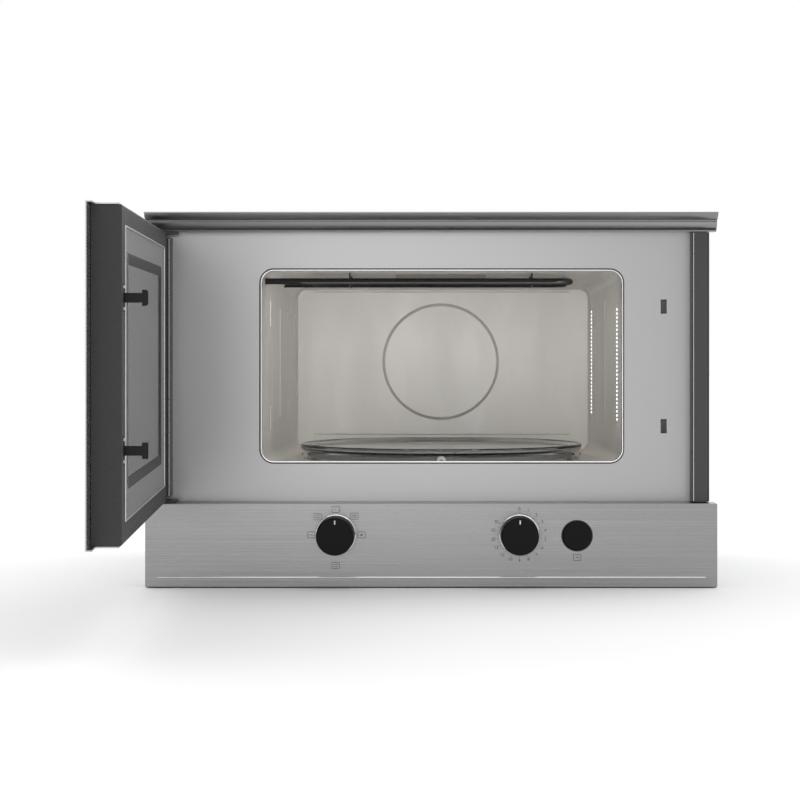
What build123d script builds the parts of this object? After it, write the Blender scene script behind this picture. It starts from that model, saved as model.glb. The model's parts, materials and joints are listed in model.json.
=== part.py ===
"""Built-in microwave oven with a side-hung door, a grill and a turntable.

Millimetres. The front faces -Y, +X is to the right seen from the front and +Z is up.
The origin is on the support plane, under the middle of the front plate's front face.
The door is modelled open, and the turntable, knobs and button stand at rest.
"""
import os
from math import cos, radians, sin

from build123d import *

# Driving dimensions ---------------------------------------------------------------------
FRONT_W = 595.0              # width of the control panel, door skin and cornice
TOTAL_H = 390.6              # support plane to the top of the cornice
PANEL_H = 88.0               # top of the control panel
PANEL_Y = -31.0              # front of the control panel and of the closed door
SHEET = 1.2                  # sheet metal thickness
CASE_W = 550.0               # width of the casing behind the front
CASE_TOP = 368.0
CASE_Y = 383.0               # back of the casing
FOOT_H = 7.0

OPEN_X = (-178.3, 200.2)     # cavity opening
OPEN_Z = (130.5, 330.5)
OPEN_R = 12.5
CAV_X = (-181.5, 203.5)      # cavity walls at the mouth
CAV_Z = (124.5, 337.0)
CAV_BACK_X = (-163.0, 188.0)  # cavity walls at the back
CAV_BACK_TOP = 320.0
CAV_Y = (1.2, 341.2)
CAV_WALL = 1.0
CAV_BEVEL = 2.5              # bevel round the back of the cavity
EMBOSS_CENTRE = (9.9, 231.7)
EMBOSS_R = 68.0
LATCH_X = 244.5              # middle of the latch slots
LATCH_Z = (167.2, 293.1)
SLOT_W, SLOT_H = 6.4, 15.0

GRILL_Z, GRILL_R = 321.0, 3.3  # height and tube radius of the grill
TURN_X, TURN_Y = 10.5, 170.0  # turntable axis
PLATE_R = 157.5
ROLLER_R = 5.0
ROLLER_TRACK = 152.0
ROLLER_GAP = 0.3             # clearance of the rollers over the floor and under the plate

SELECTOR = (-99.3, 55.4)     # control axes on the panel
TIMER = (91.6, 55.4)
BUTTON = (151.6, 54.5)
KNOB_R = 20.1
KNOB_L = 23.5
SHAFT_R = 3.0
FIT = 0.05                   # radial clearance of a running fit
BUTTON_R = 15.0
CRANK_Y, CRANK_Z = 40.0, 95.0  # axle of the release lever
CRANK_R = 4.0

DOOR_Z = (88.7, 370.6)
DOOR_ANGLE = 87.35           # how far the door stands open
PIVOT = (-287.3, -16.0)      # hinge axis
PIN_R = 2.5
BOX_X = 264.0                # half width of the door's inner box
BOX_Z = (90.2, 369.1)
BOX_Y = (-29.5, -4.4)
WINDOW_X = (-196.0, 204.0)
WINDOW_Z = (132.0, 332.5)

os.makedirs("parts", exist_ok=True)


def keep(builder, label):
    """Labels a finished piece and writes it as its own file."""
    save(builder.part, label)


def save(piece, label):
    piece.label = label
    export_step(piece, f"parts/{label}.step")


def block(x, y, z, mode=Mode.ADD):
    """A box between three pairs of coordinates."""
    middle = [(low + high) / 2 for low, high in (x, y, z)]
    with Locations(tuple(middle)):
        Box(x[1] - x[0], y[1] - y[0], z[1] - z[0], mode=mode)


def rod(start, direction, radius, length, mode=Mode.ADD):
    """A cylinder from a point along a direction."""
    with Locations(Plane(origin=start, z_dir=direction).location):
        Cylinder(radius, length, align=(Align.CENTER, Align.CENTER, Align.MIN), mode=mode)


def rounded_outline(x, z, radius, y):
    """A rounded rectangle in the XZ plane at depth y, as a sketch."""
    plane = Plane(origin=((x[0] + x[1]) / 2, y, (z[0] + z[1]) / 2), x_dir=(1, 0, 0), z_dir=(0, 1, 0))
    with BuildSketch(plane) as outline:
        RectangleRounded(x[1] - x[0], z[1] - z[0], radius)
    return outline.sketch


def rear_width(y):
    """How far the cavity has tapered at depth y, from 0 at its mouth to 1 at its back."""
    return (y - CAV_Y[0]) / (CAV_Y[1] - CAV_BEVEL - CAV_Y[0])


def wall_left(y):
    return CAV_X[0] + rear_width(y) * (CAV_BACK_X[0] - CAV_X[0])


def wall_right(y):
    return CAV_X[1] + rear_width(y) * (CAV_BACK_X[1] - CAV_X[1])


def ceiling(y):
    return CAV_Z[1] + rear_width(y) * (CAV_BACK_TOP - CAV_Z[1])


# Base, feet and casing -------------------------------------------------------------------
half = CASE_W / 2
with BuildPart() as base_pan:
    block((-half + 1.3, half - 1.3), (2, CASE_Y - 1.4), (FOOT_H, FOOT_H + SHEET))
    for side in (-1, 1):
        inner = sorted((side * (half - 1.3), side * (half - 2.3)))
        block(inner, (2, CASE_Y - 1.4), (FOOT_H + SHEET, 28))
    for x in (-150, 0, 150):
        with Locations((x, 200, FOOT_H)):
            Box(60, 6, 10, mode=Mode.SUBTRACT)
keep(base_pan, "base_pan")

FOOT_PLACES = [(x, y) for x in (-250, 250) for y in (24, 358)]
with BuildPart() as feet:
    with BuildSketch():
        with Locations(*FOOT_PLACES):
            Circle(11)
    extrude(amount=FOOT_H, taper=-5)
    block((-20, 20), (-2.5, 22), (0, FOOT_H))
keep(feet, "feet")

with BuildPart() as outer_casing:
    block((-half, half), (2, CASE_Y), (8, CASE_TOP))
    block((-half + 1, half - 1), (1, CASE_Y + 1), (7, CASE_TOP - 1), mode=Mode.SUBTRACT)
    fillet(outer_casing.edges().filter_by(Axis.Y).group_by(Axis.Z)[-1], 3)
    for row in range(5):
        for column in range(8):
            y = 60 + 16 * column
            z = 200 + 14 * row
            block((half - 3, half + 1), (y, y + 11), (z, z + 4), mode=Mode.SUBTRACT)
keep(outer_casing, "outer_casing")

with BuildPart() as rear_panel:
    block((-half + 1.3, half - 1.3), (CASE_Y - 1.2, CASE_Y), (8.5, CASE_TOP - 1.3))
    with Locations(*[(x, CASE_Y, z) for x in range(160, 260, 14) for z in (35, 60, 85)]):
        Box(8, 6, 18, mode=Mode.SUBTRACT)
    with Locations(*[(x, CASE_Y, 300) for x in range(-200, 201, 16)]):
        Box(5, 6, 40, mode=Mode.SUBTRACT)
    rod((-230, CASE_Y - 4, 40), (0, 1, 0), 9, 8, mode=Mode.SUBTRACT)
keep(rear_panel, "rear_panel")

with BuildPart() as mains_gland:
    rod((-230, CASE_Y - 6, 40), (0, 1, 0), 8.8, 6)
    rod((-230, CASE_Y, 40), (0, 1, 0), 11, 3)
    rod((-230, CASE_Y - 7, 40), (0, 1, 0), 4.2, 12, mode=Mode.SUBTRACT)
keep(mains_gland, "mains_gland")

with BuildPart() as casing_screws:
    for x in (-255, -90, 90, 255):
        rod((x, CASE_Y, 355), (0, 1, 0), 4, 2.2)
        rod((x, CASE_Y + 1.2, 355), (0, 1, 0), 1.6, 2, mode=Mode.SUBTRACT)
keep(casing_screws, "casing_screws")

# Front plate and its trims ---------------------------------------------------------------
slot_places = [(LATCH_X, z) for z in LATCH_Z]
with BuildPart() as face_plate:
    block((-291, 291), (0, SHEET), (9, 389))
    extrude(rounded_outline((OPEN_X[0] - 1.5, OPEN_X[1] + 1.5), (OPEN_Z[0] - 1.5, OPEN_Z[1] + 1.5),
                            OPEN_R + 1.5, -1), amount=9, mode=Mode.SUBTRACT)
    extrude(rounded_outline((OPEN_X[0] - 1.5, OPEN_X[1] + 1.5), (OPEN_Z[0] - 1.5, OPEN_Z[1] + 1.5),
                            OPEN_R + 1.5, 0), amount=6)
    extrude(rounded_outline(OPEN_X, OPEN_Z, OPEN_R, -1), amount=9, mode=Mode.SUBTRACT)
    for x, z in slot_places:
        with Locations((x, 0, z)):
            Box(SLOT_W, 8, SLOT_H, mode=Mode.SUBTRACT)
    rod((BUTTON[0], -3, BUTTON[1]), (0, 1, 0), 5, 8, mode=Mode.SUBTRACT)
    for x in (-281, 281):
        for z in (30, 380):
            rod((x, -3, z), (0, 1, 0), 2.75, 8, mode=Mode.SUBTRACT)
keep(face_plate, "face_plate")


def column(side, bottom, top, label):
    """A dark upright beside the door, stepped back along its outer edge."""
    with BuildPart() as upright:
        with BuildSketch(Plane.XY.offset(bottom)):
            with BuildLine():
                Polyline((side * 272, 0), (side * 272, -22), (side * 287.5, -22), (side * 288.2, -13),
                         (side * 291, -13), (side * 291, 0), close=True)
            make_face()
        extrude(amount=top - bottom)
        chamfer(upright.edges().filter_by(Axis.Z).group_by(Axis.Y)[0], 0.8)
    keep(upright, label)


column(-1, 94.5, 364.5, "column_left")
column(1, 89, 370.6, "column_right")

with BuildPart() as cornice_trim:
    with BuildSketch(Plane(origin=(-FRONT_W / 2, 0, 0), x_dir=(0, 1, 0), z_dir=(1, 0, 0))):
        with BuildLine():
            Polyline((0, 371.2), (-22, 371.2), (-22.6, 372.2), (-22, 373.2), (-20.5, 373.6))
            RadiusArc((-20.5, 373.6), (-28.5, 380.6), 9.5)
            Polyline((-28.5, 380.6), (-28.5, 381.0))
            RadiusArc((-28.5, 381.0), (-28.5, 383.0), -1.05)
            RadiusArc((-28.5, 383.0), (-39.5, 389.0), 14)
            Polyline((-39.5, 389.0), (-42, 389.2), (-42, TOTAL_H), (0, TOTAL_H), (0, 371.2))
        make_face()
    extrude(amount=FRONT_W)
    block((-288, 288), (-14, 0), (374.5, 387.5), mode=Mode.SUBTRACT)
    block((-298, -262), (-2, 1), (371, 389), mode=Mode.SUBTRACT)
keep(cornice_trim, "cornice_trim")

# Cooking cavity --------------------------------------------------------------------------
HOLE_PITCH = 4.4
HOLE_COLUMNS = (66, 317)      # depths of the two rows of holes in the right wall
VENT_Y = (58, 325)
VENT_Z = (163, 303)
vent_middle = (VENT_Z[0] + VENT_Z[1]) / 2
holes_z = [172 + HOLE_PITCH * i - vent_middle for i in range(28)]
vent_run = Vector(wall_right(VENT_Y[1]) - wall_right(VENT_Y[0]), VENT_Y[1] - VENT_Y[0], 0)
vent_length = vent_run.length
vent_columns = [(y - VENT_Y[0]) * vent_length / (VENT_Y[1] - VENT_Y[0]) for y in HOLE_COLUMNS]
vent_normal = vent_run.cross(Vector(0, 0, 1)).normalized()
vent_centre = Vector(wall_right(sum(VENT_Y) / 2), sum(VENT_Y) / 2, vent_middle) - vent_normal * 0.15
vent_plane = Plane(origin=vent_centre, x_dir=vent_run, z_dir=vent_normal)


def cavity_body(grow, mode=Mode.ADD):
    """The tapered cavity, grown by a wall thickness, with bevelled edges at its back."""
    bevel = CAV_BEVEL
    bottom = CAV_Z[0] - grow
    deep = CAV_Y[1] + grow
    left, right = CAV_BACK_X[0] - grow, CAV_BACK_X[1] + grow
    top = CAV_BACK_TOP + grow
    mouth = rounded_outline((CAV_X[0] - grow, CAV_X[1] + grow), (bottom, CAV_Z[1] + grow),
                            OPEN_R + grow, CAV_Y[0])
    shoulder = rounded_outline((left, right), (bottom, top), OPEN_R + grow, deep - bevel)
    end = rounded_outline((left + bevel, right - bevel), (bottom + bevel, top - bevel),
                          OPEN_R - 2 + grow, deep)
    loft([mouth, shoulder], ruled=True, mode=mode)
    loft([shoulder, end], ruled=True, mode=mode)


def rib(x, y, z_low, z_high):
    """A pressed upright bead on a side wall."""
    with Locations((x, y, (z_low + z_high) / 2)):
        Cylinder(1.3, z_high - z_low)


with BuildPart() as cavity_shell:
    cavity_body(CAV_WALL)
    extrude(rounded_outline((CAV_X[0] - 9, CAV_X[1] + 9), (CAV_Z[0] - 9, CAV_Z[1] + 9), OPEN_R + 9, CAV_Y[0]),
            amount=1)
    cavity_body(0, Mode.SUBTRACT)
    block((CAV_BACK_X[1] - 5, CAV_X[1] + 5), VENT_Y, VENT_Z, mode=Mode.SUBTRACT)
    with BuildSketch(vent_plane):
        Rectangle(vent_length + 4, VENT_Z[1] - VENT_Z[0] + 4)
        with Locations(*[(u - vent_length / 2, z) for u in vent_columns for z in holes_z]):
            Circle(1.45, mode=Mode.SUBTRACT)
    extrude(amount=CAV_WALL + 0.3)
    for y, low, high in ((97, 273, 300.5), (97, 160.5, 186), (183, 171, 291.5), (257, 275, 298),
                         (257, 166, 188), (322, 189, 288)):
        rib(wall_left(y) - 0.5, y, low, high)
    for y, low, high in ((181, 165, 300.5), (251, 272.7, 299.5), (251, 166.3, 193)):
        rib(wall_right(y) + 0.5, y, low, high)
    for z in (315.6, 145.3):
        with Locations(Location((11, CAV_Y[1] + 0.3, z), (0, 90, 0))):
            Cylinder(1.3, 305)
    with BuildSketch(Plane(origin=(EMBOSS_CENTRE[0], CAV_Y[1], EMBOSS_CENTRE[1]), x_dir=(1, 0, 0),
                           z_dir=(0, -1, 0))):
        Circle(EMBOSS_R + 1.8)
    extrude(amount=2.2, taper=58)
    rod((TURN_X, TURN_Y, CAV_Z[0] - 5), (0, 0, 1), 6, 8, mode=Mode.SUBTRACT)
    for y in (56, 218):
        rod((wall_left(y) - 8, y, GRILL_Z), (1, 0, 0), GRILL_R + 1, 24, mode=Mode.SUBTRACT)
    block((-30, 50), (140, 200), (ceiling(200) - 0.5, 345), mode=Mode.SUBTRACT)
keep(cavity_shell, "cavity_shell")

# Behind the cavity walls -----------------------------------------------------------------
with BuildPart() as light_guide:
    with BuildSketch(Plane.XY.offset(168)):
        with BuildLine():
            Polyline((wall_right(40) + 4, 40), (wall_right(336) + 4, 336), (wall_right(336) + 6, 336),
                     (wall_right(40) + 6, 40), close=True)
        make_face()
    extrude(amount=128)
keep(light_guide, "light_guide")

with BuildPart() as cavity_lamp:
    rod((230, 66, 214), (0, 0, 1), 11, 30)
    fillet(cavity_lamp.edges().group_by(Axis.Z)[-1], 10.5)
    rod((230, 66, 202), (0, 0, 1), 7, 12)
keep(cavity_lamp, "cavity_lamp")

with BuildPart() as lamp_holder:
    rod((230, 66, 190), (0, 0, 1), 10, 12)
    block((218, 272), (56, 76), (187, 190))
keep(lamp_holder, "lamp_holder")

with BuildPart() as waveguide:
    block((-250, 70), (130, 210), (339, 364))
    block((-248, 68), (132, 208), (340.5, 362.5), mode=Mode.SUBTRACT)
    block((-30, 50), (140, 200), (338, 341), mode=Mode.SUBTRACT)
    rod((-225, 170, 338), (0, 0, 1), 16, 4, mode=Mode.SUBTRACT)
keep(waveguide, "waveguide")

cover_slope = Plane(origin=(10, 170, ceiling(170) - 0.4), x_dir=(1, 0, 0),
                    z_dir=(0, CAV_Z[1] - CAV_BACK_TOP, CAV_Y[1] - CAV_Y[0]))
with BuildPart() as waveguide_cover:
    with BuildSketch(cover_slope):
        RectangleRounded(100, 80, 5)
    extrude(amount=-0.6)
keep(waveguide_cover, "waveguide_cover")

with BuildPart() as magnetron:
    block((-262, -196), (142, 198), (262, 332))
    for i in range(7):
        z = 268 + 9 * i
        block((-258, -200), (141, 199), (z, z + 6), mode=Mode.SUBTRACT)
    rod((-229, 170, 262), (0, 0, 1), 20, 70)
    rod((-225, 170, 332), (0, 0, 1), 20, 6.7)
    rod((-225, 170, 338), (0, 0, 1), 7.5, 18)
    block((-250, -210), (150, 190), (248, 262))
keep(magnetron, "magnetron")

with BuildPart() as transformer:
    block((-245, -155), (60, 140), (8.4, 92))
    block((-246, -154), (74, 126), (60, 76), mode=Mode.SUBTRACT)
    block((-236, -164), (48, 152), (24, 60))
    fillet(transformer.edges().filter_by(Axis.Z).group_by(Axis.Y)[0], 5)
keep(transformer, "transformer")

with BuildPart() as capacitor:
    with BuildSketch(Plane.XY.offset(8.4)):
        SlotOverall(52, 32)
    extrude(amount=80)
    with BuildSketch(Plane.XY.offset(88.4)):
        with Locations((-9, 0), (9, 0)):
            Rectangle(1, 6)
    extrude(amount=9)
save(capacitor.part.translate((-90, 100, 0)), "capacitor")

FAN = (205, 67)
with BuildPart() as fan_shroud:
    block((152, 262), (367, 380), (14, 120))
    rod((FAN[0], 366, FAN[1]), (0, 1, 0), 44, 16, mode=Mode.SUBTRACT)
    fillet(fan_shroud.edges().filter_by(Axis.Y).filter_by(GeomType.LINE), 4)
keep(fan_shroud, "fan_shroud")

with BuildPart() as fan_motor:
    rod((FAN[0], 318, FAN[1]), (0, 1, 0), 26, 32)
    block((FAN[0] - 30, FAN[0] + 30), (325, 341), (FAN[1] - 4, FAN[1] + 4))
    block((FAN[0] - 5, FAN[0] + 5), (325, 341), (8.4, FAN[1] - 20))
    rod((FAN[0], 338, FAN[1]), (0, 1, 0), SHAFT_R + FIT, 14, mode=Mode.SUBTRACT)
keep(fan_motor, "fan_motor")

with BuildPart() as fan_blade:
    rod((FAN[0], 340, FAN[1]), (0, 1, 0), SHAFT_R, 20)
    rod((FAN[0], 356, FAN[1]), (0, 1, 0), 12, 11)
    for i in range(5):
        turn = radians(72 * i)
        pitch = radians(35)
        chord = (-sin(pitch) * sin(turn), cos(pitch), sin(pitch) * cos(turn))
        spoke = Plane(origin=(FAN[0] + 9 * cos(turn), 361.5, FAN[1] + 9 * sin(turn)),
                      x_dir=chord, z_dir=(cos(turn), 0, sin(turn)))
        with BuildSketch(spoke):
            Rectangle(1.8, 16)
        extrude(amount=32)
keep(fan_blade, "fan_blade")

# Grill -----------------------------------------------------------------------------------
with BuildPart() as grill_element:
    with BuildLine(Plane.XY.offset(GRILL_Z)) as run:
        FilletPolyline((-188, 56), (150, 56), (150, 110), (-130, 110), (-130, 164), (150, 164), (150, 218),
                       (-182, 218), radius=20)
    with BuildSketch(Plane(origin=run.line @ 0, z_dir=run.line % 0)):
        Circle(GRILL_R)
    sweep()
keep(grill_element, "grill_element")

with BuildPart() as grill_clips:
    for x in (-90, 110):
        for y in (110, 164):
            block((x - 0.8, x + 0.8), (y - 6, y + 6), (GRILL_Z - 5, ceiling(y + 6) - 0.2))
            rod((x - 2, y, GRILL_Z), (1, 0, 0), GRILL_R + 0.1, 4, mode=Mode.SUBTRACT)
keep(grill_clips, "grill_clips")

# Turntable -------------------------------------------------------------------------------
FLOOR = CAV_Z[0]
PLATE_Z = FLOOR + 2 * (ROLLER_R + ROLLER_GAP)
axis_of_turn = Plane(origin=(TURN_X, TURN_Y, 0), x_dir=(1, 0, 0), z_dir=(0, -1, 0))
with BuildPart() as turntable_plate:
    with BuildSketch(axis_of_turn):
        with BuildLine():
            Polyline((0, PLATE_Z), (PLATE_R - 3.5, PLATE_Z))
            RadiusArc((PLATE_R - 3.5, PLATE_Z), (PLATE_R, PLATE_Z + 3.5), -3.5)
            Polyline((PLATE_R, PLATE_Z + 3.5), (PLATE_R, PLATE_Z + 6.2), (PLATE_R - 1.2, PLATE_Z + 7.2),
                     (PLATE_R - 3, PLATE_Z + 6.6), (PLATE_R - 7, PLATE_Z + 4), (0, PLATE_Z + 4), (0, PLATE_Z))
        make_face()
    revolve(axis=Axis((TURN_X, TURN_Y, 0), (0, 0, 1)))
keep(turntable_plate, "turntable_plate")

with BuildPart() as drive_coupler:
    rod((TURN_X, TURN_Y, FLOOR + 0.8), (0, 0, 1), 7, PLATE_Z - FLOOR - 1.1)
    for i in range(3):
        turn = radians(120 * i + 90)
        with Locations((TURN_X + 8 * cos(turn), TURN_Y + 8 * sin(turn), PLATE_Z - 2.8)):
            Cylinder(4.5, 5)
    rod((TURN_X, TURN_Y, FLOOR - 14), (0, 0, 1), 3.5, 15)
keep(drive_coupler, "drive_coupler")

with BuildPart() as turntable_motor:
    rod((TURN_X, TURN_Y, FLOOR - 21), (0, 0, 1), 25, 19.7)
    block((TURN_X - 34, TURN_X + 34), (TURN_Y - 6, TURN_Y + 6), (FLOOR - 2.6, FLOOR - 1.3))
    rod((TURN_X, TURN_Y, FLOOR - 16), (0, 0, 1), 3.5 + FIT, 18, mode=Mode.SUBTRACT)
keep(turntable_motor, "turntable_motor")

ROLLER_Z = FLOOR + ROLLER_GAP + ROLLER_R
with BuildPart() as roller_ring:
    with BuildSketch(Plane.XY.offset(ROLLER_Z - 2.5)):
        Circle(147)
        Circle(142, mode=Mode.SUBTRACT)
        Circle(24)
        with PolarLocations(83, 4, start_angle=45):
            Rectangle(122, 7)
        Circle(17, mode=Mode.SUBTRACT)
    extrude(amount=5)
    for i in range(4):
        turn = radians(90 * i)
        rod((146.5 * cos(turn), 146.5 * sin(turn), ROLLER_Z), (cos(turn), sin(turn), 0), 1.5, 10)
save(roller_ring.part.translate((TURN_X, TURN_Y, 0)), "roller_ring")

for i in range(4):
    turn = radians(90 * i)
    out = (cos(turn), sin(turn), 0)
    place = Plane(origin=(TURN_X + ROLLER_TRACK * out[0], TURN_Y + ROLLER_TRACK * out[1], ROLLER_Z),
                  z_dir=out)
    with BuildPart() as roller:
        with BuildSketch(place.offset(-3)):
            Circle(ROLLER_R)
            Circle(1.5 + FIT, mode=Mode.SUBTRACT)
        extrude(amount=6)
        chamfer(roller.edges().filter_by(GeomType.CIRCLE).sort_by(SortBy.RADIUS)[-2:], 0.7)
    keep(roller, f"roller_{i + 1}")

# Control panel ---------------------------------------------------------------------------
with BuildPart() as control_panel:
    block((-FRONT_W / 2, FRONT_W / 2), (PANEL_Y, -12), (1, PANEL_H))
    fillet(control_panel.edges().filter_by(Axis.Y), 1.5)
    fillet(control_panel.faces().sort_by(Axis.Y)[0].edges(), 0.8)
    inner = FRONT_W / 2 - SHEET
    block((-inner, inner), (PANEL_Y + SHEET, 0), (1 + SHEET, PANEL_H - SHEET), mode=Mode.SUBTRACT)
    block((-inner, inner), (-12, -2), (PANEL_H - SHEET, PANEL_H))
    block((-286, 286), (PANEL_Y - 0.5, PANEL_Y + 0.4), (10.6, 12))
    for centre in (SELECTOR, TIMER):
        rod((centre[0], PANEL_Y - 2, centre[1]), (0, 1, 0), 8, 6, mode=Mode.SUBTRACT)
    rod((BUTTON[0], PANEL_Y - 2, BUTTON[1]), (0, 1, 0), BUTTON_R + 1.4, 6, mode=Mode.SUBTRACT)
keep(control_panel, "control_panel")

with BuildPart() as panel_carrier:
    block((-294, 294), (PANEL_Y + SHEET + 0.1, -3), (4, 85.5))
    block((-291, 291), (PANEL_Y + SHEET + 3, 0), (7, 82.5), mode=Mode.SUBTRACT)
    for x in (-281, 281):
        rod((x, -26.8, 60), (0, 1, 0), 5, 26.8)
    for centre in (SELECTOR, TIMER):
        rod((centre[0], PANEL_Y, centre[1]), (0, 1, 0), SHAFT_R + 1, 8, mode=Mode.SUBTRACT)
    rod((BUTTON[0], PANEL_Y + 1.3, BUTTON[1]), (0, 1, 0), BUTTON_R + 4, 12)
    rod((BUTTON[0], PANEL_Y, BUTTON[1]), (0, 1, 0), BUTTON_R + 0.4, 10.5, mode=Mode.SUBTRACT)
    rod((BUTTON[0], PANEL_Y, BUTTON[1]), (0, 1, 0), 4 + FIT, 20, mode=Mode.SUBTRACT)
keep(panel_carrier, "panel_carrier")


def bezel(centre, inner, outer, front, back, label):
    """A thin ring that frames a control on the panel."""
    with BuildPart() as ring:
        with BuildSketch(Plane(origin=(centre[0], back, centre[1]), x_dir=(1, 0, 0), z_dir=(0, -1, 0))):
            Circle(outer)
            Circle(inner, mode=Mode.SUBTRACT)
        extrude(amount=back - front)
        chamfer(ring.edges().group_by(Axis.Y)[0].sort_by(SortBy.RADIUS)[-1], 0.5)
    keep(ring, label)


bezel(SELECTOR, 17.5, KNOB_R + 0.9, PANEL_Y - 1.6, PANEL_Y, "selector_bezel")
bezel(TIMER, 17.5, KNOB_R + 0.9, PANEL_Y - 1.6, PANEL_Y, "timer_bezel")
bezel(BUTTON, BUTTON_R + 0.4, BUTTON_R + 1.3, PANEL_Y - 0.8, PANEL_Y + 1.2, "button_bezel")


def knob(centre, label):
    """A plain round knob with a raised pointer and a hollow for its shaft."""
    base = PANEL_Y - 2.0
    with BuildPart() as grip:
        with BuildSketch(Plane(origin=(centre[0], base, centre[1]), x_dir=(1, 0, 0), z_dir=(0, -1, 0))):
            Circle(KNOB_R)
        extrude(amount=KNOB_L, taper=1.5)
        fillet(grip.edges().group_by(Axis.Y)[0], 1.6)
        fillet(grip.edges().group_by(Axis.Y)[-1], 0.5)
        rod((centre[0], base - 14, centre[1]), (0, 1, 0), SHAFT_R, 15, mode=Mode.SUBTRACT)
        tip = base - KNOB_L
        block((centre[0] - 0.7, centre[0] + 0.7), (tip - 0.2, tip + 1), (centre[1] + 12.3, centre[1] + 17))
    keep(grip, label)


def shaft(centre, label):
    with BuildPart() as stem:
        rod((centre[0], PANEL_Y - 16, centre[1]), (0, 1, 0), SHAFT_R, 37)
    keep(stem, label)


knob(SELECTOR, "selector_knob")
shaft(SELECTOR, "selector_shaft")
knob(TIMER, "timer_knob")
shaft(TIMER, "timer_shaft")


def control_body(centre, side, label):
    """A switch or timer body behind the panel, with a bearing for its shaft."""
    reach = side / 2
    with BuildPart() as housing:
        block((centre[0] - reach, centre[0] + reach), (-26.7, -2), (centre[1] - reach, centre[1] + reach))
        fillet(housing.edges().filter_by(Axis.Y), 3)
        rod((centre[0], -28, centre[1]), (0, 1, 0), SHAFT_R + FIT, 19, mode=Mode.SUBTRACT)
    keep(housing, label)


control_body(SELECTOR, 36, "selector_switch")
control_body(TIMER, 46, "timer_body")

with BuildPart() as open_button:
    rod((BUTTON[0], PANEL_Y - 2.5, BUTTON[1]), (0, 1, 0), BUTTON_R, 7)
    fillet(open_button.edges().group_by(Axis.Y)[0], 1.2)
    rod((BUTTON[0], PANEL_Y + 4, BUTTON[1]), (0, 1, 0), 4, 45)
keep(open_button, "open_button")

with BuildPart() as button_spring:
    rod((BUTTON[0], -17.6, BUTTON[1]), (0, 1, 0), 7, 13)
    rod((BUTTON[0], -18, BUTTON[1]), (0, 1, 0), 5.5, 20, mode=Mode.SUBTRACT)
keep(button_spring, "button_spring")

# Door release ----------------------------------------------------------------------------
with BuildPart() as release_lever:
    rod((146, CRANK_Y, CRANK_Z), (1, 0, 0), CRANK_R, 112)
    with BuildSketch(Plane(origin=(148, 0, 0), x_dir=(0, 1, 0), z_dir=(1, 0, 0))):
        with BuildLine():
            Polyline((18.6, 49), (25, 49), (25, 60), (45, 90), (45, 98.5), (36, 98.5), (34, 92), (18.6, 62),
                     close=True)
        make_face()
    extrude(amount=7)
    with BuildSketch(Plane(origin=(241, 0, 0), x_dir=(0, 1, 0), z_dir=(1, 0, 0))):
        with BuildLine():
            Polyline((35, 90), (72, 92), (72, 98.8), (35, 98.8), close=True)
        make_face()
    extrude(amount=7)
keep(release_lever, "release_lever")

with BuildPart() as latch_bracket:
    block((232, 262), (SHEET, 3.2), (88, 320))
    block((138, 232), (SHEET, 3.2), (96, 112))
    for x in (138, 255):
        block((x, x + 3), (SHEET, 48), (88, 112))
    rod((137, CRANK_Y, CRANK_Z), (1, 0, 0), CRANK_R + FIT, 125, mode=Mode.SUBTRACT)
    for x, z in slot_places:
        block((x - 6, x + 6), (0, 5), (z - 12, z + 12), mode=Mode.SUBTRACT)
keep(latch_bracket, "latch_bracket")

with BuildPart() as latch_lifter:
    block((238, 251), (19.5, 22), (99.4, 312))
    block((241, 248), (19.5, 76), (99.4, 102.4))
    for x, z in slot_places:
        block((240, 249), (9, 20), (z - 12, z - 9))
keep(latch_lifter, "latch_lifter")

with BuildPart() as interlock_switches:
    for z in (150, 230, 290):
        block((256, 268), (8, 40), (z, z + 17))
keep(interlock_switches, "interlock_switches")

# Door hinge ------------------------------------------------------------------------------
with BuildPart() as hinge_brackets:
    block((-296, -266), (-24, 0), (88.1, 90.1))
    block((-290, -266), (-1.6, 0), (68, 88.1))
    block((-296, -266), (-20, 0), (368.7, 370.7))
    block((-290, -266), (-1.6, 0), (370.7, 387))
    for z in (87, 367):
        rod((PIVOT[0], PIVOT[1], z), (0, 0, 1), PIN_R, 5, mode=Mode.SUBTRACT)
keep(hinge_brackets, "hinge_brackets")

with BuildPart() as hinge_pins:
    rod((PIVOT[0], PIVOT[1], 88.1), (0, 0, 1), PIN_R, 5.9)
    rod((PIVOT[0], PIVOT[1], 365), (0, 0, 1), PIN_R, 5.7)
keep(hinge_pins, "hinge_pins")

# Door, drawn shut and swung open about its hinge -------------------------------------------
HINGE_AXIS = Axis((PIVOT[0], PIVOT[1], 0), (0, 0, 1))


def keep_on_door(builder, label):
    """Swings a piece that was drawn on the shut door to where the open door holds it."""
    save(builder.part.rotate(HINGE_AXIS, -DOOR_ANGLE), label)


with BuildPart() as door_skin:
    edge = FRONT_W / 2
    block((-edge, edge), (PANEL_Y, PANEL_Y + SHEET), DOOR_Z)
    block((-BOX_X, edge), (PANEL_Y, PANEL_Y + 24), (DOOR_Z[0], DOOR_Z[0] + SHEET))
    block((-BOX_X, edge), (PANEL_Y, PANEL_Y + 24), (DOOR_Z[1] - SHEET, DOOR_Z[1]))
    block((BOX_X + 1, edge), (PANEL_Y + 5, PANEL_Y + 30), (DOOR_Z[0] - 1, DOOR_Z[1] + 1), mode=Mode.SUBTRACT)
    block((WINDOW_X[0] + 8, WINDOW_X[1] - 8), (PANEL_Y - 1, PANEL_Y + 3), (WINDOW_Z[0] + 6, WINDOW_Z[1] - 6),
          mode=Mode.SUBTRACT)
keep_on_door(door_skin, "door_skin")

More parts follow.
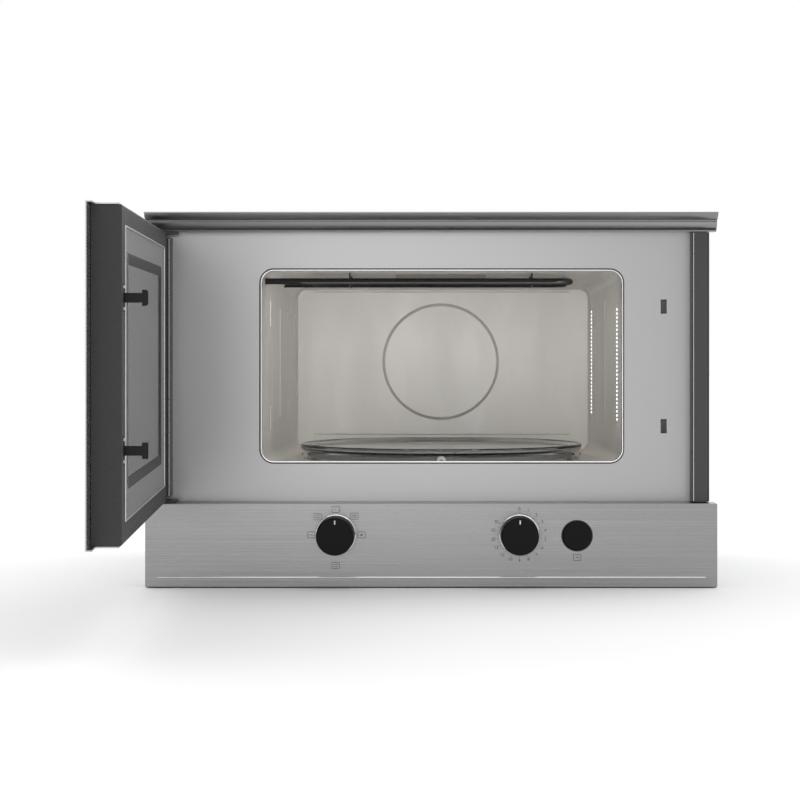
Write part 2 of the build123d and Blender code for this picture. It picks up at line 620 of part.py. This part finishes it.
with BuildPart() as door_window:
    block((WINDOW_X[0] + 8, WINDOW_X[1] - 8), (PANEL_Y, PANEL_Y + 4), (WINDOW_Z[0] + 6, WINDOW_Z[1] - 6))
    fillet(door_window.faces().sort_by(Axis.Y)[0].edges(), 0.5)
keep_on_door(door_window, "door_window")

PLATE_X = (-237.0, 231.0)
PLATE_Z_RANGE = (107.5, 353.5)
with BuildPart() as door_box:
    block((-BOX_X, BOX_X), BOX_Y, BOX_Z)
    fillet(door_box.faces().sort_by(Axis.Y)[-1].edges(), 1.5)
    block((-BOX_X + 3, BOX_X - 3), (BOX_Y[0] - 1, BOX_Y[1] - 3), (BOX_Z[0] + 3, BOX_Z[1] - 3),
          mode=Mode.SUBTRACT)
    block(PLATE_X, (BOX_Y[0], BOX_Y[1] + 1), PLATE_Z_RANGE, mode=Mode.SUBTRACT)
    for x, z in slot_places:
        block((x - 4, x + 4), (-10, 0), (z - 12, z + 12), mode=Mode.SUBTRACT)
    for x in (-BOX_X, BOX_X - 3):
        block((x, x + 3), BOX_Y, (BOX_Z[0] + 3, BOX_Z[1] - 3))
keep_on_door(door_box, "door_box")

with BuildPart() as door_inner_plate:
    block(PLATE_X, (-12, BOX_Y[1] - 0.8), PLATE_Z_RANGE)
    block((PLATE_X[0] + 1, PLATE_X[1] - 1), (-13, BOX_Y[1] - 1.8),
          (PLATE_Z_RANGE[0] + 1, PLATE_Z_RANGE[1] - 1),
          mode=Mode.SUBTRACT)
    block(WINDOW_X, (-12, BOX_Y[1]), WINDOW_Z)
    block((WINDOW_X[0] + 1, WINDOW_X[1] - 1), (-13, 0), (WINDOW_Z[0] + 1, WINDOW_Z[1] - 1),
          mode=Mode.SUBTRACT)
    fillet(door_inner_plate.edges().filter_by(Axis.Y).group_by(SortBy.LENGTH)[-1], 0.6)
keep_on_door(door_inner_plate, "door_inner_plate")

with BuildPart() as door_screen:
    block((WINDOW_X[0] - 6, WINDOW_X[1] + 6), (-13.2, -12.1), (WINDOW_Z[0] - 6, WINDOW_Z[1] + 6))
keep_on_door(door_screen, "door_screen")

with BuildPart() as door_inner_glass:
    block((WINDOW_X[0] + 1.2, WINDOW_X[1] - 1.2), (-8, -6), (WINDOW_Z[0] + 1.2, WINDOW_Z[1] - 1.2))
keep_on_door(door_inner_glass, "door_inner_glass")

with BuildPart() as hinge_leaves:
    for low in (90.4, 365.4):
        with BuildSketch(Plane.XY.offset(low)):
            with Locations(PIVOT):
                Circle(7)
            with Locations(((PIVOT[0] - BOX_X) / 2, PIVOT[1])):
                Rectangle(-BOX_X - PIVOT[0], 14)
            with Locations(PIVOT):
                Circle(PIN_R + FIT, mode=Mode.SUBTRACT)
        extrude(amount=3)
    block((-BOX_X - 1.5, -BOX_X), (-24, -8), (93.4, 122))
    block((-BOX_X - 1.5, -BOX_X), (-24, -8), (336, 365.4))
keep_on_door(hinge_leaves, "hinge_leaves")

HOOK_REACH = 20.0
with BuildPart() as door_hooks:
    block((LATCH_X - 2.2, LATCH_X + 2.2), (-20, -12), (150, 310))
    for x, z in slot_places:
        block((x - 2.2, x + 2.2), (-14, BOX_Y[1] + HOOK_REACH), (z - 4, z + 4))
        block((x - 2.2, x + 2.2), (BOX_Y[1] + HOOK_REACH - 5, BOX_Y[1] + HOOK_REACH), (z - 6.7, z + 6.7))
    chamfer(door_hooks.faces().sort_by(Axis.Y)[-1].edges().filter_by(Axis.X), 1.5)
keep_on_door(door_hooks, "door_hooks")

with BuildPart() as hook_spring:
    rod((LATCH_X, -16, 310), (0, 0, 1), 3.5, 26)
    rod((LATCH_X, -16, 309), (0, 0, 1), 2.4, 28, mode=Mode.SUBTRACT)
keep_on_door(hook_spring, "hook_spring")
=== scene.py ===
"""Looks of the built-in microwave oven: materials, dial marks, fine pieces, light and camera."""
import json
from math import cos, pi, radians, sin

import bmesh
import bpy
from mathutils import Matrix, Vector


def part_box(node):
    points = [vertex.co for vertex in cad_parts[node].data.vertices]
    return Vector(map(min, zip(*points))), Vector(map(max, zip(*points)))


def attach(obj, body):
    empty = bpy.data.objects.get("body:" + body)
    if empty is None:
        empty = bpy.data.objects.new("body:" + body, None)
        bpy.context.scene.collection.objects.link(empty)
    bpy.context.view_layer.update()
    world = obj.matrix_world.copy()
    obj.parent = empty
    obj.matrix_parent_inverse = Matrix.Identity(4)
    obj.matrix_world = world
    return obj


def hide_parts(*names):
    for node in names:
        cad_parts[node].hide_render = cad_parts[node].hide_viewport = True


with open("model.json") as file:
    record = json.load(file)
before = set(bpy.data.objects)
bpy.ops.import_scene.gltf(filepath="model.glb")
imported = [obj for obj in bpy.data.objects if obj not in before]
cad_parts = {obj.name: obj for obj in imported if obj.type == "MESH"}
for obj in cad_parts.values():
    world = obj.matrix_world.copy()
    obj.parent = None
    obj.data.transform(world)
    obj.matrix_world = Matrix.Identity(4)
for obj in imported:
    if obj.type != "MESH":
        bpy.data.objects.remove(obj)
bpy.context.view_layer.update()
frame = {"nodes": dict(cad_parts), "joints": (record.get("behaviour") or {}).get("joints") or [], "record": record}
nodes = frame["nodes"]
MM = 0.001


# Materials -------------------------------------------------------------------------------
def shader_tree(name):
    """A new material with its node tree and principled shader."""
    material = bpy.data.materials.new(name)
    material.use_nodes = True
    tree = material.node_tree
    return material, tree, tree.nodes["Principled BSDF"]


def scaled_noise(tree, scale, detail=4.0):
    """Noise stretched along the object's own axes: scale holds the cycles per metre."""
    coordinates = tree.nodes.new("ShaderNodeTexCoord")
    mapping = tree.nodes.new("ShaderNodeMapping")
    mapping.inputs["Scale"].default_value = scale
    noise = tree.nodes.new("ShaderNodeTexNoise")
    noise.inputs["Scale"].default_value = 1.0
    noise.inputs["Detail"].default_value = detail
    tree.links.new(coordinates.outputs["Object"], mapping.inputs["Vector"])
    tree.links.new(mapping.outputs["Vector"], noise.inputs["Vector"])
    return noise.outputs["Fac"]


def ramp(tree, source, low, high):
    """Spreads a texture's middle range between two colours or grey values."""
    node = tree.nodes.new("ShaderNodeValToRGB")
    node.color_ramp.elements[0].position = 0.3
    node.color_ramp.elements[1].position = 0.7
    node.color_ramp.elements[0].color = (*low, 1.0)
    node.color_ramp.elements[1].color = (*high, 1.0)
    tree.links.new(source, node.inputs["Fac"])
    return node.outputs["Color"]


def grey(value):
    return (value, value, value)


def surface(name, colour, roughness, metallic=0.0, grain=(400, 400, 400), variation=0.06, rough_spread=0.08,
            bump=0.05, bump_distance=0.0002, detail=4.0, **sockets):
    """A material whose colour, roughness and relief all vary with one stretched grain."""
    material, tree, shader = shader_tree(name)
    grain_out = scaled_noise(tree, grain, detail)
    low = tuple(max(c * (1 - variation), 0.0) for c in colour)
    high = tuple(min(c * (1 + variation), 1.0) for c in colour)
    tree.links.new(ramp(tree, grain_out, low, high), shader.inputs["Base Color"])
    rough = ramp(tree, grain_out, grey(max(roughness - rough_spread, 0.02)), grey(roughness + rough_spread))
    tree.links.new(rough, shader.inputs["Roughness"])
    shader.inputs["Metallic"].default_value = metallic
    relief = tree.nodes.new("ShaderNodeBump")
    relief.inputs["Strength"].default_value = bump
    relief.inputs["Distance"].default_value = bump_distance
    tree.links.new(grain_out, relief.inputs["Height"])
    tree.links.new(relief.outputs["Normal"], shader.inputs["Normal"])
    for key, value in sockets.items():
        shader.inputs[key.replace("_", " ")].default_value = value
    return material


ALONG_X = (3, 900, 1800)
ALONG_Y = (1800, 3, 1800)
ALONG_Z = (1200, 1200, 4)
FINE = (900, 900, 900)

materials = {
    "brushed_front": surface("brushed_front", grey(0.31), 0.26, 1.0, ALONG_X, 0.12, 0.05, 0.12),
    "brushed_door": surface("brushed_door", grey(0.42), 0.28, 1.0, ALONG_Y, 0.10, 0.06, 0.10),
    "satin_front": surface("satin_front", (0.43, 0.43, 0.435), 0.33, 0.85, FINE, 0.03, 0.04, 0.05),
    "cavity_steel": surface("cavity_steel", (0.90, 0.875, 0.84), 0.5, 0.5, (40, 40, 9), 0.04, 0.05, 0.04),
    "cornice_steel": surface("cornice_steel", grey(0.30), 0.34, 1.0, ALONG_X, 0.10, 0.05, 0.08),
    "dark_trim": surface("dark_trim", grey(0.055), 0.45, 0.2, FINE, 0.15, 0.08, 0.10),
    "door_black": surface("door_black", grey(0.028), 0.55, 0.0, (700, 700, 700), 0.25, 0.10, 0.5, 0.0004),
    "door_plate": surface("door_plate", grey(0.34), 0.38, 0.9, ALONG_Y, 0.08, 0.05, 0.06),
    "black_plastic": surface("black_plastic", grey(0.03), 0.5, 0.0, FINE, 0.2, 0.08, 0.2),
    "knob_black": surface("knob_black", grey(0.004), 0.45, 0.0, FINE, 0.2, 0.06, 0.12,
                          Specular_IOR_Level=0.15),
    "dark_ring": surface("dark_ring", grey(0.03), 0.35, 0.3, FINE, 0.2, 0.06, 0.1),
    "chrome_ring": surface("chrome_ring", grey(0.85), 0.12, 1.0, FINE, 0.03, 0.03, 0.02),
    "zinc_sheet": surface("zinc_sheet", (0.52, 0.53, 0.54), 0.42, 0.75, (60, 60, 60), 0.10, 0.08, 0.04),
    "steel_bright": surface("steel_bright", grey(0.66), 0.3, 1.0, FINE, 0.05, 0.06, 0.05),
    "rubber_foot": surface("rubber_foot", grey(0.02), 0.8, 0.0, FINE, 0.2, 0.08, 0.3),
    "light_guide": surface("light_guide", grey(0.72), 0.5, 0.0, FINE, 0.03, 0.05, 0.02),
    "pip_light": surface("pip_light", grey(0.95), 0.5, 0.0, FINE, 0.02, 0.05, 0.02,
                         Emission_Color=(1.0, 0.99, 0.96, 1.0), Emission_Strength=1.6),
    "lamp_glass": surface("lamp_glass", (0.95, 0.93, 0.88), 0.1, 0.0, FINE, 0.02, 0.02, 0.02,
                          Transmission_Weight=0.8),
    "ceramic_white": surface("ceramic_white", (0.82, 0.81, 0.78), 0.35, 0.0, FINE, 0.03, 0.05, 0.05),
    "mica": surface("mica", (0.46, 0.43, 0.38), 0.4, 0.0, (90, 90, 90), 0.2, 0.08, 0.1),
    "core_steel": surface("core_steel", grey(0.09), 0.5, 0.6, (20, 20, 1500), 0.3, 0.08, 0.2),
    "aluminium_can": surface("aluminium_can", grey(0.7), 0.3, 1.0, ALONG_Z, 0.05, 0.05, 0.05),
    "heater_black": surface("heater_black", grey(0.012), 0.5, 0.3, FINE, 0.3, 0.1, 0.3),
    "turntable_glass": surface("turntable_glass", (0.86, 0.90, 0.89), 0.04, 0.0, FINE, 0.01, 0.01, 0.01,
                               Transmission_Weight=1.0, IOR=1.46),
    "coupler_plastic": surface("coupler_plastic", (0.78, 0.78, 0.76), 0.45, 0.0, FINE, 0.04, 0.05, 0.1),
    "ring_plastic": surface("ring_plastic", (0.30, 0.30, 0.295), 0.5, 0.0, FINE, 0.1, 0.06, 0.1),
    "roller_white": surface("roller_white", (0.86, 0.86, 0.85), 0.35, 0.0, FINE, 0.03, 0.05, 0.05),
    "grey_plastic": surface("grey_plastic", (0.62, 0.62, 0.62), 0.45, 0.0, FINE, 0.05, 0.05, 0.1),
    "door_glass": surface("door_glass", grey(0.006), 0.06, 0.0, FINE, 0.1, 0.02, 0.01,
                          Specular_IOR_Level=0.35),
    "inner_glass": surface("inner_glass", grey(0.30), 0.12, 0.0, FINE, 0.01, 0.02, 0.01,
                           Transmission_Weight=0.9, IOR=1.12, Specular_IOR_Level=0.15),
    "hook_black": surface("hook_black", grey(0.008), 0.45, 0.0, FINE, 0.2, 0.06, 0.1, Specular_IOR_Level=0.2),
    "screen_black": surface("screen_black", grey(0.012), 0.5, 0.0, FINE, 0.2, 0.06, 0.1),
    "white_print": surface("white_print", grey(0.82), 0.5, 0.0, FINE, 0.03, 0.05, 0.02),
    "dark_print": surface("dark_print", grey(0.035), 0.5, 0.0, FINE, 0.1, 0.05, 0.02),
}
slot_of = {row["node"]: row["material_slot"] for row in frame["record"]["subparts"]}


def finish_with(piece, name):
    piece.data.materials.clear()
    piece.data.materials.append(materials[name])


for node, piece in nodes.items():
    finish_with(piece, slot_of[node])


# Building blocks -------------------------------------------------------------------------
def add_piece(name, mesh, material, body):
    piece = bpy.data.objects.new(name, mesh)
    bpy.context.scene.collection.objects.link(piece)
    finish_with(piece, material)
    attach(piece, body)
    return piece


def mesh_from(bm, name):
    mesh = bpy.data.meshes.new(name)
    bmesh.ops.recalc_face_normals(bm, faces=bm.faces)
    bm.to_mesh(mesh)
    bm.free()
    return mesh


def wire(name, paths, radius, material, body, closed=False, place=Matrix.Identity(4), flat=1.0):
    """Thin round strokes along the paths, as one mesh; flat squeezes them along Y."""
    curve = bpy.data.curves.new(name, "CURVE")
    curve.dimensions = "3D"
    curve.bevel_depth = radius
    curve.bevel_resolution = 2
    curve.use_fill_caps = True
    for path in paths:
        spline = curve.splines.new("POLY")
        spline.points.add(len(path) - 1)
        for point, spot in zip(spline.points, path):
            point.co = (*spot, 1.0)
        spline.use_cyclic_u = closed
    source = bpy.data.objects.new(name + "_path", curve)
    mesh = bpy.data.meshes.new_from_object(source)
    bpy.data.objects.remove(source)
    if flat != 1.0:
        middle = sum(v.co.y for v in mesh.vertices) / len(mesh.vertices)
        for v in mesh.vertices:
            v.co.y = middle + (v.co.y - middle) * flat
    mesh.transform(place)
    mesh.shade_smooth()
    return add_piece(name, mesh, material, body)


def rounded_loop(x, z, radius, y, steps=8):
    """Points round a rectangle with rounded corners in the XZ plane."""
    corners = ((x[1] - radius, z[1] - radius, 0), (x[0] + radius, z[1] - radius, 90),
               (x[0] + radius, z[0] + radius, 180), (x[1] - radius, z[0] + radius, 270))
    loop = []
    for cx, cz, start in corners:
        for i in range(steps + 1):
            turn = radians(start + 90 * i / steps)
            loop.append((cx + radius * cos(turn), y, cz + radius * sin(turn)))
    return loop


def bridged(name, loops, material, body, place=Matrix.Identity(4), ring=False):
    """A strip of faces through loops of equal length; with ring it closes on its first loop."""
    bm = bmesh.new()
    rows = [[bm.verts.new(p) for p in loop] for loop in loops]
    pairs = list(zip(rows, rows[1:] + (rows[:1] if ring else [])))
    for lower, upper in pairs:
        for i in range(len(lower)):
            j = (i + 1) % len(lower)
            bm.faces.new((lower[i], lower[j], upper[j], upper[i]))
    mesh = mesh_from(bm, name)
    mesh.transform(place)
    return add_piece(name, mesh, material, body)


def label(name, text, size, centre, material, body):
    """Flat generic lettering that faces the front."""
    font = bpy.data.curves.new(name, "FONT")
    font.body = text
    font.size = size
    font.extrude = 0.06 * MM
    font.align_x = "CENTER"
    font.align_y = "CENTER"
    source = bpy.data.objects.new(name + "_text", font)
    mesh = bpy.data.meshes.new_from_object(source)
    bpy.data.objects.remove(source)
    mesh.transform(Matrix.Translation(centre) @ Matrix.Rotation(radians(90), 4, "X"))
    return add_piece(name, mesh, material, body)


# Where the shut door would be -------------------------------------------------------------
swing = next(j for j in frame["joints"] if j["name"] == "door_swing")
hinge = Vector(swing["pos_m"])
door_turn = radians(swing["range_deg"][1])
opened = Matrix.Translation(hinge) @ Matrix.Rotation(-door_turn, 4, "Z") @ Matrix.Translation(-hinge)
shut = opened.inverted()


def shut_box(node):
    """A door piece's box as it stands when the door is shut."""
    places = [shut @ v.co for v in nodes[node].data.vertices]
    low = Vector([min(p[k] for p in places) for k in range(3)])
    high = Vector([max(p[k] for p in places) for k in range(3)])
    return low, high


# Control panel marks ---------------------------------------------------------------------
BEAD = 0.5 * MM          # how far the pressed bead stands in front of the panel
panel_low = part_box("control_panel")[0]
ink_y = panel_low.y + BEAD - 0.05 * MM
selector_low, selector_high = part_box("selector_knob")
timer_low, timer_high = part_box("timer_knob")
button_low, button_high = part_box("open_button")
selector_mid = (selector_low + selector_high) / 2
timer_mid = (timer_low + timer_high) / 2
button_mid = (button_low + button_high) / 2
MARK_STEP = 20           # degrees from one minute number to the next
MINUTES = ("0", "1", "2", "3", "4", "5", "6", "7", "8", "9", "10", "12", "15", "20", "25", "30")

for i, text in enumerate(MINUTES):
    turn = radians(MARK_STEP * i)
    centre = (timer_mid.x + 27.5 * MM * sin(turn), ink_y, timer_mid.z + 27.0 * MM * cos(turn))
    label(f"minute_{text}", text, 4.6 * MM, centre, "dark_print", "chassis")
ticks = []
for i in range(31):
    turn = radians(10 * i)
    reach = (22.2, 24.0) if i % 2 == 0 else (22.2, 23.1)
    ticks.append([(timer_mid.x + r * MM * sin(turn), ink_y, timer_mid.z + r * MM * cos(turn)) for r in reach])
wire("minute_ticks", ticks, 0.22 * MM, "dark_print", "chassis", flat=0.4)


def icon(name, place, strokes):
    """Small generic line drawing: a rounded frame and a few strokes inside it, in millimetres."""
    frame_path = [(p[0] + place[0], ink_y, p[2] + place[1])
                  for p in rounded_loop((-3.9 * MM, 3.9 * MM), (-3.2 * MM, 3.2 * MM), 1.0 * MM, 0, 3)]
    frame_path.append(frame_path[0])
    paths = [frame_path]
    for stroke in strokes:
        paths.append([(place[0] + x * MM, ink_y, place[1] + z * MM) for x, z in stroke])
    wire(name, paths, 0.24 * MM, "dark_print", "chassis", flat=0.4)


def wave(z, height=0.5):
    return [(-2.2 + 0.55 * i, z + height * sin(i * pi / 2)) for i in range(9)]


ICONS = {
    "icon_off": (0, 26.5, [[(0, 1.6), (0, -0.4)]]),
    "icon_micro": (45, 27.5, [wave(0.9), wave(-0.9)]),
    "icon_defrost": (90, 27.0, [[(-1.6, 0), (1.6, 0)], [(0, -1.6), (0, 1.6)], [(-1.1, -1.1), (1.1, 1.1)]]),
    "icon_grill": (180, 32.0, [[(-2, 1.6), (-1, 0.6), (0, 1.6), (1, 0.6), (2, 1.6)],
                               [(-2.2, -1.2), (2.2, -1.2)]]),
    "icon_low": (270, 25.5, [wave(0)]),
    "icon_both": (315, 26.5, [[(-2, 1.7), (-1, 0.9), (0, 1.7), (1, 0.9), (2, 1.7)], wave(-0.8)]),
}
for name, (angle, reach, strokes) in ICONS.items():
    turn = radians(angle)
    icon(name, (selector_mid.x + reach * MM * sin(turn), selector_mid.z + reach * MM * cos(turn)), strokes)
icon("icon_open", (button_mid.x, button_mid.z - 22.5 * MM),
     [[(-1.4, 0), (1.4, 0)], [(0.6, 0.8), (1.4, 0), (0.6, -0.8)]])

for body, low, middle in (("selector", selector_low, selector_mid), ("timer", timer_low, timer_mid)):
    tip = low.y + 0.1 * MM
    line = [(middle.x, tip, middle.z + 12.6 * MM), (middle.x, tip, middle.z + 16.8 * MM)]
    wire(f"{body}_pointer", [line], 0.75 * MM, "white_print", body, flat=0.5)

# Painted highlight: a bright chrome bead along the foot of the panel, where the recessed panel's step catches the
# light from above
highlight_z = 11.3 * MM
wire("panel_step_highlight", [[(-0.285, panel_low.y + 0.2 * MM, highlight_z), (0.285, panel_low.y + 0.2 * MM, highlight_z)]],
     0.6 * MM, "chrome_ring", "chassis")

# Bright rolled lip round the cavity opening ------------------------------------------------
front_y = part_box("face_plate")[0].y
OPENING_X = (-0.1783, 0.2002)     # the cavity opening and the walls behind it, as the CAD has them
OPENING_Z = (0.1305, 0.3305)
OPENING_R = 0.0125


def round_opening(by, y):
    """The opening's outline, grown on every side."""
    return rounded_loop((OPENING_X[0] - by, OPENING_X[1] + by), (OPENING_Z[0] - by, OPENING_Z[1] + by),
                        OPENING_R + by, y, 12)


wire("opening_lip", [round_opening(0.9 * MM, front_y - 0.2 * MM)], 1.0 * MM,
     "chrome_ring", "chassis", closed=True)
wire("opening_shadow_line", [round_opening(2.4 * MM, front_y)], 0.45 * MM,
     "dark_ring", "chassis", closed=True, flat=0.5)

# Light pips in the cavity wall's holes: painted glow, emissive dots for the lamp light shining through them
# ----------
PIP_PITCH = 4.4 * MM
PIP_FIRST_Z = 0.172
HOLE_DEPTHS = (0.066, 0.317)
HOLES = 28
WALL_MOUTH_X, WALL_BACK_X = 0.2035, 0.188
WALL_MOUTH_Y, WALL_BACK_Y = 0.0012, 0.3387
pips = bmesh.new()
for depth in HOLE_DEPTHS:
    along = (depth - WALL_MOUTH_Y) / (WALL_BACK_Y - WALL_MOUTH_Y)
    wall_x = WALL_MOUTH_X + along * (WALL_BACK_X - WALL_MOUTH_X)
    for i in range(HOLES):
        spot = Matrix.Translation((wall_x + 0.3 * MM, depth, PIP_FIRST_Z + PIP_PITCH * i))
        bmesh.ops.create_uvsphere(pips, u_segments=12, v_segments=8, radius=1.4 * MM, matrix=spot)
pip_mesh = mesh_from(pips, "light_pips")
pip_mesh.shade_smooth()
add_piece("light_pips", pip_mesh, "pip_light", "chassis")

# Door: window surround, screen wires and edge lines -----------------------------------------
glass_low, glass_high = shut_box("door_inner_glass")
plate_in_low, plate_in_high = shut_box("door_inner_plate")
box_low, box_high = shut_box("door_box")
window_x = (glass_low.x, glass_high.x)
window_z = (glass_low.z, glass_high.z)


def inset(pair, by):
    return (pair[0] + by, pair[1] - by)


surround = [
    rounded_loop(inset(window_x, -1.2 * MM), inset(window_z, -1.2 * MM), 5 * MM, plate_in_high.y - 0.2 * MM),
    rounded_loop(inset(window_x, 1.5 * MM), inset(window_z, 1.5 * MM), 5 * MM, glass_high.y + 1.6 * MM),
    rounded_loop(inset(window_x, 9 * MM), inset(window_z, 9 * MM), 4 * MM, glass_high.y + 0.3 * MM),
    rounded_loop(inset(window_x, 9 * MM), inset(window_z, 9 * MM), 4 * MM, glass_high.y + 0.05 * MM),
    rounded_loop(inset(window_x, -1.2 * MM), inset(window_z, -1.2 * MM), 5 * MM, glass_high.y + 0.05 * MM),
]
bridged("window_surround", surround, "door_black", "door", opened, ring=True)

wire_y = shut_box("door_screen")[1].y + 0.5 * MM
rows = int((window_z[1] - window_z[0] - 12 * MM) / (2.4 * MM))
wires = [[(window_x[0] + 6 * MM, wire_y, window_z[0] + 7 * MM + 2.4 * MM * i),
          (window_x[1] - 6 * MM, wire_y, window_z[0] + 7 * MM + 2.4 * MM * i)] for i in range(rows)]
wire("screen_wires", wires, 0.42 * MM, "door_plate", "door", place=opened)

plate_edge = rounded_loop((plate_in_low.x + 0.6 * MM, plate_in_high.x - 0.6 * MM),
                          (plate_in_low.z + 0.6 * MM, plate_in_high.z - 0.6 * MM),
                          2 * MM, box_high.y - 0.1 * MM)
wire("door_plate_edge", [plate_edge], 0.8 * MM, "steel_bright", "door",
     closed=True, place=opened)

# Painted highlights beside each hook: bright steel bars above and below each latch hook, for the light caught on
# the edges of the hook's opening ---------
hook_low, hook_high = shut_box("door_hooks")
hook_x = (hook_low.x + hook_high.x) / 2
HOOK_Z = (0.1672, 0.2931)
for i, z in enumerate(HOOK_Z):
    edge_highlights = [[(hook_x - 3 * MM, box_high.y, z + s * 9 * MM), (hook_x + 3 * MM, box_high.y, z + s * 9 * MM)]
             for s in (-1, 1)]
    wire(f"hook_studs_{i + 1}", edge_highlights, 1.3 * MM, "steel_bright", "door", place=opened)

# Bright strip down the inner edge of each dark upright --------------------------------------
for name in ("column_left", "column_right"):
    low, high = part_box(name)
    edge_x = low.x + 1.6 * MM if name == "column_right" else high.x - 1.6 * MM
    line = [(edge_x, low.y, low.z + 1 * MM), (edge_x, low.y, high.z - 1 * MM)]
    wire(f"{name}_strip", [line], 0.5 * MM, "steel_bright", "chassis")


# Real coils in place of the plain spring sleeves --------------------------------------------
def coil(name, node, body, axis, turns, thickness, place=Matrix.Identity(4), box=None):
    """A wound spring that stands for a sleeve, along one axis of the sleeve's box."""
    low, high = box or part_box(node)
    middle = (low + high) / 2
    other = [k for k in range(3) if k != axis]
    radius = (high[other[0]] - low[other[0]]) / 2 - thickness
    path = []
    steps = turns * 24
    for i in range(steps + 1):
        turn = 2 * pi * i / 24
        spot = [0.0, 0.0, 0.0]
        spot[axis] = low[axis] + thickness + (high[axis] - low[axis] - 2 * thickness) * i / steps
        spot[other[0]] = middle[other[0]] + radius * cos(turn)
        spot[other[1]] = middle[other[1]] + radius * sin(turn)
        path.append(tuple(spot))
    piece = wire(name, [path], thickness, "steel_bright", body, place=place)
    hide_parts(node)


coil("button_spring_coil", "button_spring", "button", 1, 7, 0.6 * MM)
coil("hook_spring_coil", "hook_spring", "door_latch", 2, 9, 0.5 * MM, opened, shut_box("hook_spring"))

# Floor, light and camera -----------------------------------------------------------------
EYE = Vector((0.0091, -2.510, 0.260))
FOCAL_PX = 2385.0
FRAME_PX = 800.0
PRINCIPAL = (440.0, 338.0)
SENSOR = 36.0

camera_data = bpy.data.cameras.new("camera")
camera_data.sensor_width = SENSOR
camera_data.lens = FOCAL_PX * SENSOR / FRAME_PX
camera_data.shift_x = (FRAME_PX / 2 - PRINCIPAL[0]) / FRAME_PX
camera_data.shift_y = (PRINCIPAL[1] - FRAME_PX / 2) / FRAME_PX
camera_data.clip_end = 50
camera = bpy.data.objects.new("camera", camera_data)
camera.location = EYE
camera.rotation_euler = (radians(90), 0, 0)
bpy.context.scene.collection.objects.link(camera)
bpy.context.scene.camera = camera

floor_bm = bmesh.new()
bmesh.ops.create_grid(floor_bm, x_segments=8, y_segments=8, size=14)
floor = bpy.data.objects.new("floor", mesh_from(floor_bm, "floor"))
bpy.context.scene.collection.objects.link(floor)
floor_paint = surface("floor_paint", grey(0.93), 0.75, 0.0, (3, 3, 3), 0.004, 0.03, 0.01)
floor.data.materials.append(floor_paint)

world = bpy.data.worlds.new("studio")
world.use_nodes = True
sky = world.node_tree
shade = sky.nodes["Background"]
direction = sky.nodes.new("ShaderNodeTexCoord")
split = sky.nodes.new("ShaderNodeSeparateXYZ")
sky.links.new(direction.outputs["Generated"], split.inputs["Vector"])


def sky_ramp(axis, stops):
    """Grey values along one axis of the direction: stops are pairs of place and grey."""
    spread = sky.nodes.new("ShaderNodeMapRange")
    spread.inputs["From Min"].default_value = -1.0
    spread.inputs["From Max"].default_value = 1.0
    sky.links.new(split.outputs[axis], spread.inputs["Value"])
    node = sky.nodes.new("ShaderNodeValToRGB")
    sky.links.new(spread.outputs["Result"], node.inputs["Fac"])
    steps = node.color_ramp.elements
    while len(steps) < len(stops):
        steps.new(0.5)
    for step, (place, value) in zip(steps, stops):
        step.position = (place + 1) / 2
        step.color = (*grey(value), 1.0)
    return node.outputs["Color"]


# White behind the object; in front of it a soft light that is dimmer to the sides
across = sky_ramp("X", ((-0.6, 0.6), (-0.16, 0.28), (0.03, 1.0), (0.18, 0.5), (0.6, 0.75)))
behind = sky_ramp("Y", ((-0.1, 0.0), (0.1, 1.0)))
choose = sky.nodes.new("ShaderNodeMix")
choose.data_type = "RGBA"
sky.links.new(behind, choose.inputs["Factor"])
sky.links.new(across, choose.inputs[6])
choose.inputs[7].default_value = (1.0, 1.0, 1.0, 1.0)
sky.links.new(choose.outputs[2], shade.inputs["Color"])
shade.inputs["Strength"].default_value = 1.0
bpy.context.scene.world = world
bpy.context.scene.view_settings.view_transform = "Standard"


def area_light(name, place, target, size, power):
    data = bpy.data.lights.new(name, "AREA")
    data.shape = "RECTANGLE"
    data.size, data.size_y = size
    data.energy = power
    light = bpy.data.objects.new(name, data)
    light.location = place
    aim = Vector(target) - Vector(place)
    light.rotation_euler = aim.to_track_quat("-Z", "Y").to_euler()
    bpy.context.scene.collection.objects.link(light)


# The oven lamp, then the studio lights
area_light("cavity_lamp_light", (0.010, 0.050, 0.312), (0.010, 0.341, 0.20), (0.30, 0.02), 0.07)
area_light("key", (-0.356, -3.566, 0.529), (0, 0, 0.2), (1.2, 1.2), 7)
sun_data = bpy.data.lights.new("overhead", "SUN")
sun_data.energy = 1.15
sun_data.angle = radians(80)
sun = bpy.data.objects.new("overhead", sun_data)
sun.location = (0, 0, 3)
bpy.context.scene.collection.objects.link(sun)
